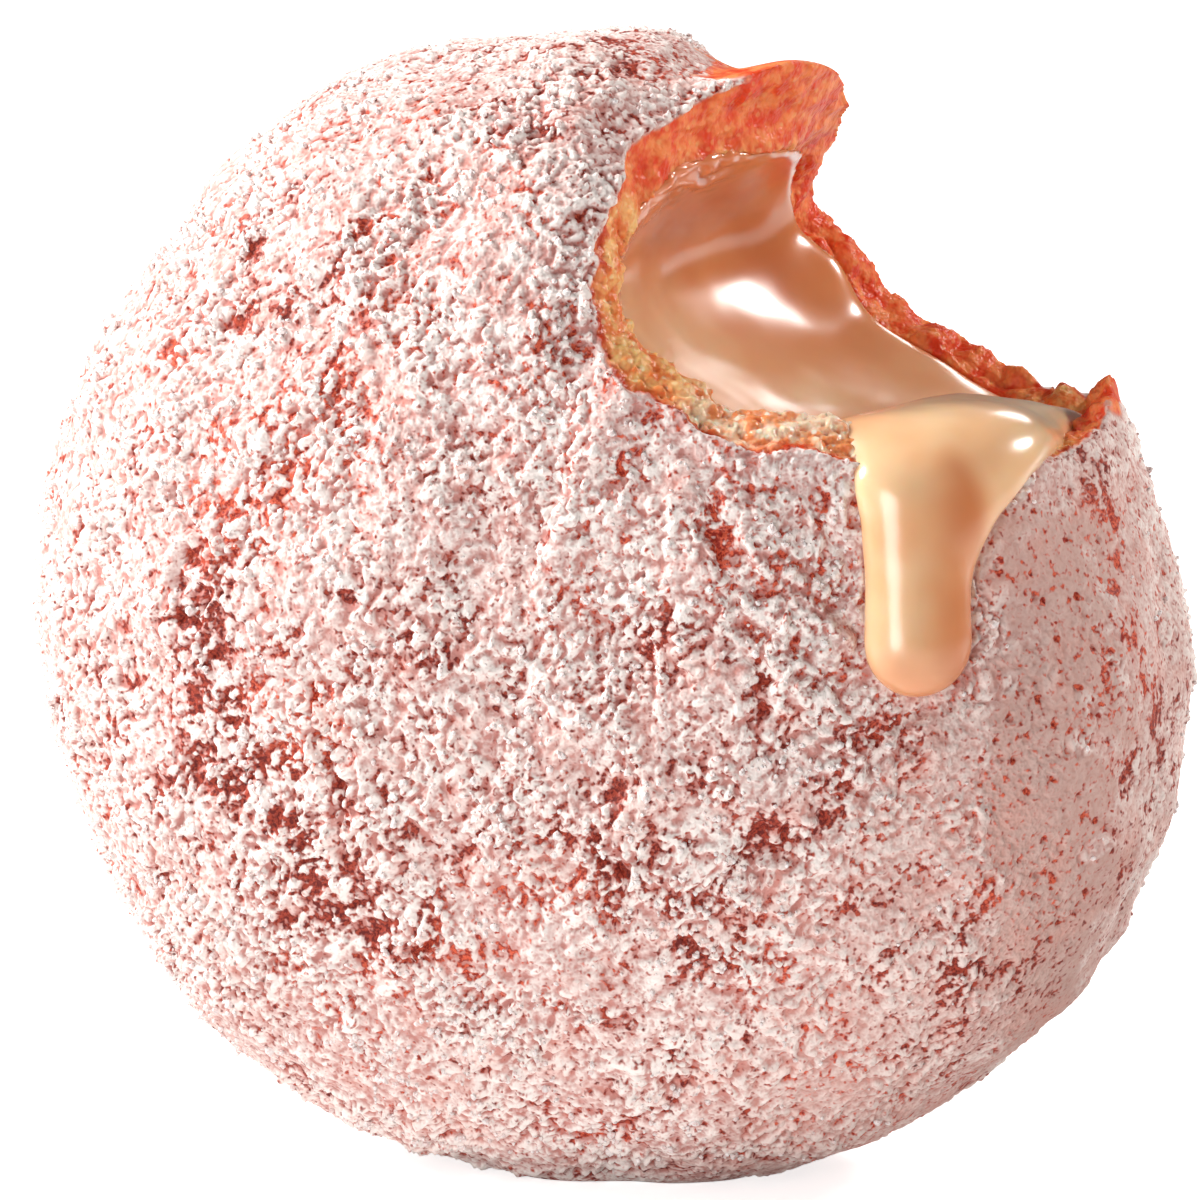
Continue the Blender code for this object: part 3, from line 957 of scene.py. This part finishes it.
def build_dough(material):
    """The dough with its bite and its pocket, under its relief of sugar and of torn crumb."""
    body = mesh_object("body", doughnut_body())
    whole = body.data.copy()
    bite = mesh_object("bite", tube(bite_radius))
    pocket = mesh_object("pocket", cream_pocket(0.0))
    combine(body, pocket, "DIFFERENCE")
    combine(body, bite, "DIFFERENCE")
    points, quads = remeshed(body, DOUGH_VOXEL, (bite, pocket))
    depth = measured_depth(points, whole)
    normals = vertex_normals(points, quads)
    hidden = (depth > HIDDEN_DEPTH) & (from_bite_line(points) > HIDDEN_FROM_BITE)
    sugar = np.zeros((4, len(points)))
    chosen = np.flatnonzero(depth < SKIN_DEPTH)
    sugar[:, chosen] = sugar_relief(points[chosen], normals[chosen])
    height, bare, calm, pale = sugar
    crumb = np.zeros(len(points))
    chosen = np.flatnonzero((depth > CRUMB_DEPTH) & ~hidden)
    crumb[chosen] = crumb_relief(points[chosen])
    foot = smooth(points[:, 2], *(fade - CENTRE_HEIGHT for fade in FOOT_FADE))
    torn = torn_edge(points)
    wall = np.maximum(smooth(depth, *WALL_DEPTH), torn * smooth(depth, *TORN_DEPTH))
    moved = height * foot * (1 - wall) + crumb * wall
    deep = np.maximum(np.clip(depth / DEEPEST, 0, 1), TORN_SHADE * torn)
    red = np.where(wall > 0.5, red_crust_and_glow(points), calm)
    film = np.where(wall > 0.5, smeared(points), bare)
    look = np.stack([film, deep, np.clip(pale, 0, 1), red], 1)
    points = points + normals * (moved * MM)[:, None]
    mesh = faceted("dough", points, quads, look)
    dough = add_piece("sugared_dough", mesh, material, "dough")
    thin_out(dough, hidden, HIDDEN_KEPT)
    points, _, look = mesh_arrays(dough.data)
    behind = (points[:, 1] > BEHIND_Y) & (look[:, 1] < BEHIND_DEPTH)
    behind &= from_bite_line(points) > BEHIND_FROM_BITE
    thin_out(dough, behind, BACK_KEPT)


def pocket_share(points):
    """How far out points lie between the pocket's middle and its wall, which is at 1."""
    q = points - np.array(POCKET_SHIFT)
    across = np.hypot(q[:, 0], q[:, 2]) / POCKET_RADIUS
    through = np.abs(q[:, 1]) / POCKET_HALF_THICKNESS
    return (across**POCKET_POWER + through**POCKET_POWER) ** (1 / POCKET_POWER)


CLOT_RADIUS = 0.17  # millimetres, and so are the smallest and the largest
CLOT_SPREAD = 0.35
CLOT_RADII = (0.10, 0.42)
CLOT_UNEVEN = 0.25
CLOT_STRETCH = (0.75, 1.3)
CLOT_LIFT = 0.25  # a share of its radius
CLOT_FREE = 3.0 * MM  # no clots this close to the foot


def clot_chances(points, normals, look):
    """How likely a clot is to lie at each point of the coat."""
    crowd = smooth(wave_pair(points / MM, CROWDS), -0.3, 0.7)
    on_skin = (look[:, 1] < 0.05) & (points[:, 2] > -CENTRE_HEIGHT + CLOT_FREE)
    chance = on_skin * (0.1 + crowd) * (1 - look[:, 0]) ** 2 * (1 - look[:, 3]) ** 3
    chance *= 0.05 + smooth(look[:, 2], 0.35, 0.8)
    chance *= 0.05 + smooth(np.abs(normals[:, 1]), 0.2, 0.6)
    return chance / chance.sum()


def build_clots(material):
    """Loose clots of sugar, each a small uneven pebble half sunk in the coat."""
    rng = np.random.default_rng(CLOT_SEED)
    points, normals, look = mesh_arrays(bpy.data.objects["sugared_dough"].data)
    chance = clot_chances(points, normals, look)
    picked = rng.choice(len(points), CLOT_COUNT, replace=False, p=chance)
    unit = bmesh.new()
    bmesh.ops.create_icosphere(unit, subdivisions=1, radius=1.0)
    pebble = np.array([v.co[:] for v in unit.verts])
    corners = np.array([[v.index for v in f.verts] for f in unit.faces])
    unit.free()
    size = rng.lognormal(math.log(CLOT_RADIUS), CLOT_SPREAD, CLOT_COUNT)
    size = np.clip(size, *CLOT_RADII) * MM
    uneven = rng.uniform(-CLOT_UNEVEN, CLOT_UNEVEN, (CLOT_COUNT, len(pebble), 1))
    shape = pebble[None] * (1 + uneven)
    shape = shape * rng.uniform(*CLOT_STRETCH, (CLOT_COUNT, 1, 3)) * size[:, None, None]
    centre = points[picked] + normals[picked] * (size * CLOT_LIFT)[:, None]
    everything = (shape + centre[:, None]).reshape(-1, 3)
    first = np.arange(CLOT_COUNT) * len(pebble)
    faces = (corners[None] + first[:, None, None]).reshape(-1, 3)
    colour = np.zeros((len(everything), 4))
    colour[:, 2] = np.repeat(rng.uniform(0.7, 1.0, CLOT_COUNT), len(pebble))
    add_piece("sugar_clots", faceted("clots", everything, faces, colour), material, "dough")


# Where the cream's mesh changes, in millimetres, degrees and levels of the pocket
CREAM_CALMED = 10  # times that the whole of it is smoothed
JOINT_CALMED = 150  # and the joint with the spill, and the fold at the left
JOINT_X = (12.0, 18.0)
JOINT_Y = (-22.5, -19.0)
JOINT_Z = (8.0, 12.0)
NEAR_BITE = (26.0, 23.0)
FOLD_ENDS = (250, 225)
FOLD_LEVELS = (0.97, 0.90)
EDGE_LEVELS = (0.84, 0.98)  # stringy where it clings to the crumb, at the left in front
EDGE_NEAR_BITE = (24.0, 22.0)
EDGE_ENDS = (246, 230)
EDGE_FRONT = (4.0, -4.0)
STRING_STRETCH = (1.0, 0.6, 1.0)
STRING_HEIGHT = 0.9
RIPPLE_HEIGHT = 0.10
SHORT_RIPPLE_HEIGHT = 0.04
# Where painted shade darkens it: high in the bowl, away from the spill, and at the drip's right and
# low end
SHADE_HIGH = (16.0, 28.0)
SHADE_SPILL = (27.0, -12.0, 10.0)
SHADE_AWAY = (12.0, 33.0)
SHADE_NEAR_BITE = (27.0, 24.0)
DRIP_Y = (-18.0, -20.0)
DRIP_RIGHT = (31.5, 35.0)
DRIP_LOW = (7.0, -4.0)
DRIP_RIGHT_SHADE = 0.85
DRIP_LOW_SHADE = 0.9
CREAM_HIDDEN = 26.5


def cream_joint(points):
    """How much of its unevenness each point loses: all at the joint, half of it in the fold."""
    q = points / MM
    near_bite = smooth(from_bite_line(points), *NEAR_BITE)
    joint = smooth(q[:, 0], *JOINT_X) * smooth(q[:, 1], *JOINT_Y) * smooth(q[:, 2], *JOINT_Z)
    joint *= near_bite
    fold = smooth(bite_direction(points), *FOLD_ENDS) * near_bite
    fold *= smooth(pocket_share(points), *FOLD_LEVELS)
    return np.maximum(joint, 0.5 * fold)


def painted_cream_shade(q, from_bite):
    """How much painted shade darkens the cream at each point, from 0 to 1."""
    shade = smooth(q[:, 2] + 0.25 * q[:, 1], *SHADE_HIGH)
    shade *= smooth(np.linalg.norm(q - np.array(SHADE_SPILL), axis=1), *SHADE_AWAY)
    drip = smooth(q[:, 1], *DRIP_Y)
    right = DRIP_RIGHT_SHADE * (drip * smooth(q[:, 0], *DRIP_RIGHT))
    shade = np.maximum(shade * smooth(from_bite, *SHADE_NEAR_BITE), right)
    return np.maximum(shade, DRIP_LOW_SHADE * (drip * smooth(q[:, 2], *DRIP_LOW)))


def build_cream(material):
    """The cream that fills the pocket, bitten as the dough is, with its spill and its drip."""
    core = mesh_object("core", cream_pocket(CREAM_OVERLAP))
    face = mesh_object("face", tube(cream_radius))
    poured = mesh_object("poured", spill())
    combine(core, face, "DIFFERENCE")
    combine(core, poured, "UNION")
    points, quads = remeshed(core, CREAM_VOXEL, (face, poured))
    points = relaxed(points, quads, CREAM_CALMED, 0.5)
    points = relaxed(points, quads, JOINT_CALMED, 0.5 * cream_joint(points)[:, None])
    normals = vertex_normals(points, quads)
    q = points / MM
    from_bite = from_bite_line(points)
    edge = smooth(pocket_share(points), *EDGE_LEVELS) * smooth(from_bite, *EDGE_NEAR_BITE)
    edge *= smooth(bite_direction(points), *EDGE_ENDS) * smooth(q[:, 1], *EDGE_FRONT)
    bent = q * STRING_STRETCH + 0.5 * waves(q, *STRING_WARP)[:, None]
    strings = np.abs(waves(bent, *STRINGS))
    ripple = RIPPLE_HEIGHT * waves(q, *RIPPLES) + SHORT_RIPPLE_HEIGHT * waves(q, *SHORT_RIPPLES)
    ripple = ripple + edge * (STRING_HEIGHT * strings - 0.2)
    points = points + normals * (ripple * MM)[:, None]
    points = relaxed(points, quads, 2, 0.5)
    empty, full = np.zeros(len(points)), np.ones(len(points))
    look = np.stack([painted_cream_shade(q, from_bite), edge, empty, full], 1)
    mesh = faceted("cream", points, quads, look)
    cream = add_piece("custard_cream", mesh, material, "cream")
    thin_out(cream, from_bite > CREAM_HIDDEN, HIDDEN_KEPT)


class Nodes:
    """Short calls that add shader nodes to one material, each for a value or a socket."""

    def __init__(self, name):
        self.material = bpy.data.materials.new(name)
        self.material.use_nodes = True
        self.tree = self.material.node_tree
        self.shader = self.tree.nodes["Principled BSDF"]
        self.coordinates = self.add("ShaderNodeTexCoord").outputs["Object"]

    def add(self, kind, **values):
        node = self.tree.nodes.new(kind)
        for name, value in values.items():
            setattr(node, name, value)
        return node

    def link(self, value, socket):
        if isinstance(value, bpy.types.NodeSocket):
            self.tree.links.new(value, socket)
        else:
            socket.default_value = value

    def made(self, kind, result, inputs, **values):
        """An output of a new node with these inputs."""
        node = self.add(kind, **values)
        for name, value in inputs.items():
            self.link(value, node.inputs[name])
        return node.outputs[result]

    def noise(self, scale, detail, roughness=0.5):
        inputs = {"Scale": scale, "Detail": detail, "Roughness": roughness}
        return self.made("ShaderNodeTexNoise", "Fac", {"Vector": self.coordinates, **inputs})

    def voronoi(self, scale):
        inputs = {"Vector": self.coordinates, "Scale": scale}
        return self.made("ShaderNodeTexVoronoi", "Distance", inputs)

    def maths(self, operation, one, two):
        node = self.add("ShaderNodeMath", operation=operation)
        self.link(one, node.inputs[0])
        self.link(two, node.inputs[1])
        return node.outputs[0]

    def ramp(self, value, low, high):
        inputs = {"Value": value, "From Min": low, "From Max": high}
        kind = "ShaderNodeMapRange"
        return self.made(kind, "Result", inputs, interpolation_type="SMOOTHSTEP")

    def mix(self, share, one, two, kind="RGBA"):
        """From one colour to the other as the share goes from 0 to 1."""
        inputs = {"Factor": share, "A": one, "B": two}
        return self.made("ShaderNodeMix", "Result", inputs, data_type=kind)

    def blend(self, share, one, two):
        """As mix, for plain numbers."""
        return self.mix(share, one, two, "FLOAT")

    def bump(self, height, distance, strength):
        inputs = {"Strength": strength, "Distance": distance, "Height": height}
        return self.made("ShaderNodeBump", "Normal", inputs)

    def look(self):
        """The four values of the mesh's colour data."""
        node = self.add("ShaderNodeAttribute", attribute_name="look")
        parts = self.add("ShaderNodeSeparateColor")
        self.link(node.outputs["Color"], parts.inputs["Color"])
        return (*parts.outputs[:3], node.outputs["Alpha"])

    def set(self, **values):
        """Links or sets the shader's inputs, each named with low lines for its spaces."""
        for name, value in values.items():
            self.link(value, self.shader.inputs[name.replace("_", " ")])


def srgb(red, green, blue):
    """A colour given as in a picture, in linear light."""
    parts = [c / 255 for c in (red, green, blue)]
    return (*(c / 12.92 if c <= 0.04045 else ((c + 0.055) / 1.055) ** 2.4 for c in parts), 1.0)


# Colours as in a picture, most of them in pairs from dark to pale
HOLLOW_SHADED_SUGAR = (srgb(198, 138, 130), srgb(255, 246, 241))
SHADED_CALM_SUGAR = srgb(202, 161, 150)
VEIL = srgb(232, 168, 154)
THIN_SUGAR = srgb(200, 126, 116)
DARK_CRUST = (srgb(108, 28, 22), srgb(176, 68, 48))
RED_CRUST = (srgb(150, 38, 26), srgb(222, 98, 68))
GOLD_CRUMB = (srgb(238, 128, 66), srgb(255, 200, 130))
GOLD_BEADS = srgb(255, 226, 178)
FILM = (srgb(240, 150, 96), srgb(255, 226, 196))
FILM_HIGHLIGHTS = srgb(255, 244, 224)
ORANGE_GLOW_CRUMB = (srgb(232, 74, 36), srgb(252, 146, 86))
ORANGE_BEADS = srgb(255, 200, 130)
BROWN_CRUMB = (srgb(196, 66, 34), srgb(236, 128, 78))
CLOT_SUGAR = (srgb(238, 214, 211), srgb(255, 252, 251))
PALE_CREAM = (srgb(248, 188, 138), srgb(255, 212, 166))
# The cream's colour under its painted shade
SHADED_CREAM = (srgb(212, 124, 72), srgb(228, 146, 90))
CREAM_EDGE = srgb(232, 136, 92)

# How many waves of each kind there are in a metre
GRAINS = 3600
SPECKS = 1900
VEILS = 230
STAINS = 60
MOTTLES = 620
BEADS = 900
SWIRLS = 120
CREAM_GRAINS = 420

# How far light spreads in the food: red, green and blue, then how far in metres
CRUMB_SPREAD = ((1.0, 0.4, 0.2), 1.2 * MM)
CREAM_SPREAD = ((1.0, 0.5, 0.25), 1.2 * MM)
SPREAD_WEIGHT = 0.4  # the share of the light that enters


def sugar_colour(n, height, calm, speckle):
    """Pale where the sugar stands out, and pink where it lies thin and in its hollows, where the
    pink paints their shade as well as thinner sugar.
    """
    level = n.maths("ADD", height, n.maths("MULTIPLY", speckle, 0.55))
    sugar = n.mix(n.ramp(level, 0.25, 0.60), *HOLLOW_SHADED_SUGAR)
    # The smooth sugar at the right is painted darker, as the shade that falls on that side
    sugar = n.mix(n.maths("MULTIPLY", calm, 0.8), sugar, SHADED_CALM_SUGAR)
    veil = n.maths("MULTIPLY", n.ramp(n.noise(VEILS, 1.0, 0.6), 0.48, 0.75), 0.30)
    return n.mix(veil, sugar, VEIL)


def crust_colour(n, grain):
    """The bare crust, in patches of dark and of bright red."""
    share = n.ramp(grain, 0.35, 0.65)
    patches = n.ramp(n.noise(STAINS, 0.0), 0.42, 0.60)
    return n.mix(patches, n.mix(share, *DARK_CRUST), n.mix(share, *RED_CRUST))


def crumb_colour(n, mottle, depth, film, redness):
    """Gold crumb in front with a film of cream below, brown at the skin, orange at the back, which
    also paints the glow of light through the thin crust there.
    """
    beads = n.ramp(n.voronoi(BEADS), 0.30, 0.12)
    gold = n.mix(n.ramp(mottle, 0.35, 0.65), *GOLD_CRUMB)
    gold = n.mix(n.maths("MULTIPLY", beads, 0.7), gold, GOLD_BEADS)
    # Painted highlights: white beads on the film of cream
    wet = n.mix(beads, n.mix(n.ramp(mottle, 0.38, 0.6), *FILM), FILM_HIGHLIGHTS)
    orange = n.mix(n.ramp(mottle, 0.34, 0.66), *ORANGE_GLOW_CRUMB)
    orange = n.mix(n.maths("MULTIPLY", beads, 0.35), orange, ORANGE_BEADS)
    brown = n.mix(n.ramp(mottle, 0.4, 0.6), *BROWN_CRUMB)
    uneven = n.maths("MULTIPLY", n.maths("SUBTRACT", mottle, 0.5), 0.25)
    deep = n.ramp(n.maths("ADD", depth, uneven), 0.10, 0.26)
    return n.mix(redness, n.mix(deep, brown, n.mix(film, gold, wet)), orange)


def dough_look():
    """Sugar over browned crust outside, and crumb that turns from orange to gold inside."""
    n = Nodes("sugared_dough")
    bare, depth, height, calm = n.look()
    grain = n.noise(GRAINS, 1.0, 0.6)
    speck = n.noise(SPECKS, 1.0, 0.6)
    mottle = n.noise(MOTTLES, 2.0, 0.62)
    speckle = n.maths("SUBTRACT", speck, 0.5)
    edge = n.maths("ADD", bare, n.maths("MULTIPLY", speckle, 1.3))
    shown = n.ramp(edge, 0.42, 0.66)
    thin = n.maths("MULTIPLY", n.ramp(edge, 0.28, 0.55), 0.55)
    sugar = n.mix(thin, sugar_colour(n, height, calm, speckle), THIN_SUGAR)
    outside = n.mix(shown, sugar, crust_colour(n, grain))
    inside = crumb_colour(n, mottle, depth, bare, calm)
    wall = n.ramp(n.maths("ADD", depth, n.maths("MULTIPLY", speckle, 0.06)), 0.05, 0.11)
    moist = n.blend(bare, n.blend(mottle, 0.25, 0.6), 0.2)
    n.set(
        Base_Color=n.mix(wall, outside, inside),
        Roughness=n.blend(wall, n.blend(shown, 0.95, 0.6), moist),
        Specular_IOR_Level=0.35,
        Subsurface_Weight=n.maths("MULTIPLY", wall, SPREAD_WEIGHT),
        Subsurface_Radius=CRUMB_SPREAD[0],
        Subsurface_Scale=CRUMB_SPREAD[1],
        Normal=n.bump(speck, 0.22 * MM, 1.0),
    )
    return n.material


def clot_look():
    """Clotted sugar, white with a little pink."""
    n = Nodes("clotted_sugar")
    _, _, pale, _ = n.look()
    grain = n.noise(GRAINS, 1.0, 0.6)
    share = n.maths("MULTIPLY", pale, n.ramp(grain, 0.3, 0.6))
    n.set(
        Base_Color=n.mix(share, *CLOT_SUGAR),
        Roughness=0.95,
        Normal=n.bump(grain, 0.3 * MM, 0.8),
    )
    return n.material


def cream_look():
    """Glossy caramel cream, with painted shade that makes it darker in its bowl and at the end of
    the drip.
    """
    n = Nodes("custard_cream")
    shade, edge, _, _ = n.look()
    swirl = n.ramp(n.noise(SWIRLS, 2.0), 0.3, 0.7)
    # Painted shade: the cream turns to its shaded colour where the shade mask is high
    body = n.mix(shade, n.mix(swirl, *PALE_CREAM), n.mix(swirl, *SHADED_CREAM))
    n.set(
        Base_Color=n.mix(n.maths("MULTIPLY", edge, 0.5), body, CREAM_EDGE),
        Roughness=0.25,
        IOR=1.46,
        Subsurface_Weight=SPREAD_WEIGHT,
        Subsurface_Radius=CREAM_SPREAD[0],
        Subsurface_Scale=CREAM_SPREAD[1],
        Coat_Weight=1.0,
        Coat_Roughness=0.22,
        Normal=n.bump(n.noise(CREAM_GRAINS, 2.0), 0.05 * MM, 0.3),
    )
    return n.material


# The studio, in metres and watts
# Each light: azimuth and elevation as of the camera, distance, width, height, power, colour
LIGHTS = {
    "key": (-76, 36, 0.55, 0.18, 0.22, 4.4, (1.0, 0.985, 0.965)),
    "strip": (-3, 7, 0.60, 0.22, 0.32, 1.25, (1.0, 1.0, 1.0)),
    "rim": (122, 34, 0.55, 0.10, 0.11, 1.9, (1.0, 0.97, 0.94)),
    "back": (178, 26, 0.60, 0.14, 0.12, 0.25, (1.0, 1.0, 1.0)),
}
FLOOR_HALF = 6.0
FLOOR_GREY = 0.9
FLOOR_GLOW = (0.05, 0.75)  # what it adds to the light, and how bright it looks
SKY = (0.11, 1.05)  # the same for the sky
SKY_TINT = ((1, 0.82, 0.75, 1), (1, 1, 1, 1))
CLIP = (0.01, 20)  # metres


def frame_direction(azimuth, elevation):
    """The direction from the doughnut to something at these angles, 0 and 0 being its front."""
    a, e = math.radians(azimuth), math.radians(elevation)
    return Vector((math.sin(a) * math.cos(e), -math.cos(a) * math.cos(e), math.sin(e)))


def aimed(obj, direction, target, distance):
    """Puts the object at this distance from the target, looking at it."""
    obj.location = target + direction * distance
    obj.rotation_mode = "QUATERNION"
    obj.rotation_quaternion = direction.to_track_quat("Z", "Y")


def add_camera():
    """The photograph's camera, shifted aside by as much as the picture shows."""
    data = bpy.data.cameras.new("camera")
    data.lens = LENS
    data.sensor_width = SENSOR
    obj = bpy.data.objects.new("camera", data)
    bpy.context.scene.collection.objects.link(obj)
    back = frame_direction(VIEW_AZIMUTH, VIEW_ELEVATION)
    a = math.radians(VIEW_AZIMUTH)
    right = Vector((math.cos(a), math.sin(a), 0))
    up = back.cross(right)
    half = PICTURE_SIDE / 2
    across = (half - MIDDLE_PIXEL[0]) / PICTURE_SCALE * MM
    upward = (MIDDLE_PIXEL[1] - half) / PICTURE_SCALE * MM
    target = Vector((0, 0, CENTRE_HEIGHT)) + right * across + up * upward
    distance = PICTURE_SIDE / PICTURE_SCALE * MM * LENS / SENSOR
    aimed(obj, back, target, distance)
    data.clip_start, data.clip_end = CLIP
    bpy.context.scene.camera = obj


def add_light(name, azimuth, elevation, distance, wide, high, power, colour):
    data = bpy.data.lights.new(name, "AREA")
    data.shape = "ELLIPSE"
    data.size = wide
    data.size_y = high
    data.energy = power
    data.color = colour
    obj = bpy.data.objects.new(name, data)
    bpy.context.scene.collection.objects.link(obj)
    aimed(obj, frame_direction(azimuth, elevation), Vector((0, 0, CENTRE_HEIGHT)), distance)


def add_floor():
    """A plain pale floor."""
    bm = bmesh.new()
    bmesh.ops.create_grid(bm, x_segments=1, y_segments=1, size=FLOOR_HALF)
    floor = mesh_object("floor", bm)
    n = Nodes("floor")
    seen = n.add("ShaderNodeLightPath").outputs["Is Camera Ray"]
    n.set(
        Base_Color=(FLOOR_GREY, FLOOR_GREY, FLOOR_GREY, 1),
        Roughness=0.9,
        Emission_Color=(1, 1, 1, 1),
        Emission_Strength=n.blend(seen, *FLOOR_GLOW),
    )
    floor.data.materials.append(n.material)


def add_world():
    """A sky that lights the doughnut a little and looks white."""
    world = bpy.data.worlds.new("studio")
    bpy.context.scene.world = world
    world.use_nodes = True
    tree = world.node_tree
    background = tree.nodes["Background"]
    path = tree.nodes.new("ShaderNodeLightPath")
    for name, kind, ends in (("Strength", "FLOAT", SKY), ("Color", "RGBA", SKY_TINT)):
        mix = tree.nodes.new("ShaderNodeMix")
        mix.data_type = kind
        tree.links.new(path.outputs["Is Camera Ray"], mix.inputs["Factor"])
        mix.inputs["A"].default_value, mix.inputs["B"].default_value = ends
        tree.links.new(mix.outputs["Result"], background.inputs[name])


def add_studio():
    """Camera, floor, sky and lights."""
    bpy.context.scene.view_settings.view_transform = "Standard"
    bpy.context.scene.view_settings.look = "None"
    add_camera()
    add_floor()
    add_world()
    for name, values in LIGHTS.items():
        add_light(name, *values)


build_dough(dough_look())
build_clots(clot_look())
build_cream(cream_look())
add_studio()
